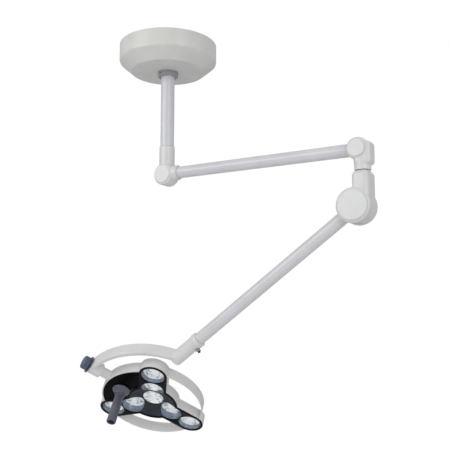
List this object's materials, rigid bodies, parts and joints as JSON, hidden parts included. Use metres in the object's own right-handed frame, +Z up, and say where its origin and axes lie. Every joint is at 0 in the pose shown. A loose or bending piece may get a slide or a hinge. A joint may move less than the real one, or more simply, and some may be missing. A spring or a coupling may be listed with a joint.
{
  "type": "surgical light",
  "caption": "Ceiling-mounted surgical light with a swivelling arm, a spring-balanced arm, a curved yoke and a round lamp head of faceted lenses with a central grip.",
  "frame": {"origin": "on the ceiling plane, on the axis of the down tube", "axes": "+Z up; the horizontal arm runs along +X from the down tube, and the spring arm is folded back beneath it"},
  "size_m": [1.0772, 0.4364, 1.3901],
  "materials": {
    "white_casting": "satin",
    "white_tube": "satin",
    "white_cover": "satin",
    "canopy_white": "satin",
    "plated_steel": "satin",
    "black_steel": "satin",
    "bronze": "satin",
    "collar_grey": "satin",
    "supply_case": "satin",
    "terminal_plastic": "matte",
    "clip_grey": "satin",
    "bezel_black": "gloss",
    "panel_black": "satin",
    "dish_charcoal": "matte",
    "reflector_silver": "satin",
    "lens_clear": "polished",
    "board_white": "satin",
    "sink_aluminium": "satin",
    "grip_slate": "satin"
  },
  "bodies": {
    "ceiling_unit": {"ceiling_plate": "plated_steel", "tube_flange": "plated_steel", "flange_bolts": "plated_steel", "down_tube": "white_tube", "canopy_cover": "canopy_white", "tube_collar": "collar_grey", "collar_screws": "black_steel", "power_supply": "supply_case", "terminal_block": "terminal_plastic", "shoulder_spindle": "plated_steel", "shoulder_nut": "plated_steel"},
    "horizontal_arm": {"shoulder_casting": "white_casting", "shoulder_bushes": "bronze", "shoulder_caps": "white_cover", "horizontal_arm_tube": "white_tube", "elbow_casting": "white_casting", "elbow_caps": "white_cover", "elbow_bushes": "bronze", "brake_screws": "black_steel"},
    "elbow_head": {"elbow_spindle": "plated_steel", "elbow_nut": "plated_steel", "hub_housing": "white_casting", "hub_covers": "white_cover", "hub_pivot_pin": "plated_steel"},
    "spring_arm": {"spring_arm_root": "white_casting", "hub_bushes": "bronze", "spring_arm_tube": "white_tube", "spring_seat": "plated_steel", "balance_spring": "plated_steel", "arm_end_spigot": "plated_steel"},
    "pull_rod": {"spring_rod": "plated_steel", "spring_adjuster_nut": "plated_steel"},
    "yoke": {"yoke_sleeve": "white_casting", "retention_clip": "clip_grey", "clip_screw": "black_steel", "yoke_arm": "white_casting", "tilt_bush": "bronze", "friction_washer": "grip_slate"},
    "lamp_head": {"head_housing": "white_casting", "front_bezel": "bezel_black", "sector_panel": "panel_black", "hub_dish": "dish_charcoal", "reflector_pair_1": "reflector_silver", "reflector_pair_2": "reflector_silver", "reflector_pair_3": "reflector_silver", "lens_1": "lens_clear", "lens_2": "lens_clear", "lens_3": "lens_clear", "lens_4": "lens_clear", "lens_5": "lens_clear", "lens_6": "lens_clear", "lens_7": "lens_clear", "led_boards": "board_white", "rear_cover": "white_cover", "heat_sink": "sink_aluminium", "tilt_spigot": "white_casting", "handle_socket": "grip_slate"},
    "knob": {"tension_knob": "grip_slate", "knob_stud": "plated_steel"},
    "handle": {"sterile_handle": "grip_slate"}
  },
  "joints": [
    {"name": "shoulder_swivel", "type": "hinge", "parent": "ceiling_unit", "child": "horizontal_arm", "pos_m": [0, 0, -0.3703], "axis": [0, 0, 1], "range_deg": [-165, 165]},
    {"name": "elbow_swivel", "type": "hinge", "parent": "horizontal_arm", "child": "elbow_head", "pos_m": [0.715, 0, -0.5343], "axis": [0, 0, 1], "range_deg": [-165, 165]},
    {"name": "spring_arm_pitch", "type": "hinge", "parent": "elbow_head", "child": "spring_arm", "pos_m": [0.693, 0, -0.641], "axis": [0, 1, 0], "range_deg": [-30, 36]},
    {"name": "pull_rod_slide", "type": "slide", "parent": "spring_arm", "child": "pull_rod", "axis": [-0.8118, 0, -0.584], "range_m": [-0.0135, 0.016], "deforming": ["balance_spring"]},
    {"name": "yoke_swivel", "type": "hinge", "parent": "spring_arm", "child": "yoke", "pos_m": [0.08417, 0, -1.07897], "axis": [-0.8118, 0, -0.584], "range_deg": [-150, 150]},
    {"name": "head_tilt", "type": "hinge", "parent": "yoke", "child": "lamp_head", "pos_m": [-0.11758, 0.09649, -1.25582], "axis": [-0.5132, -0.7147, 0.4751], "range_deg": [-100, 100]},
    {"name": "knob_turn", "type": "hinge", "parent": "lamp_head", "child": "knob", "pos_m": [-0.11758, 0.09649, -1.25582], "axis": [-0.5132, -0.7147, 0.4751], "range_deg": [-180, 180]},
    {"name": "handle_turn", "type": "hinge", "parent": "lamp_head", "child": "handle", "pos_m": [-0.19349, 0.01798, -1.20855], "axis": [0.1889, -0.6341, -0.7498], "range_deg": [0, 60]}
  ],
  "couplings": [
    {"joint": "pull_rod_slide", "follows": "spring_arm_pitch", "m_per_rad": 0.025}
  ]
}
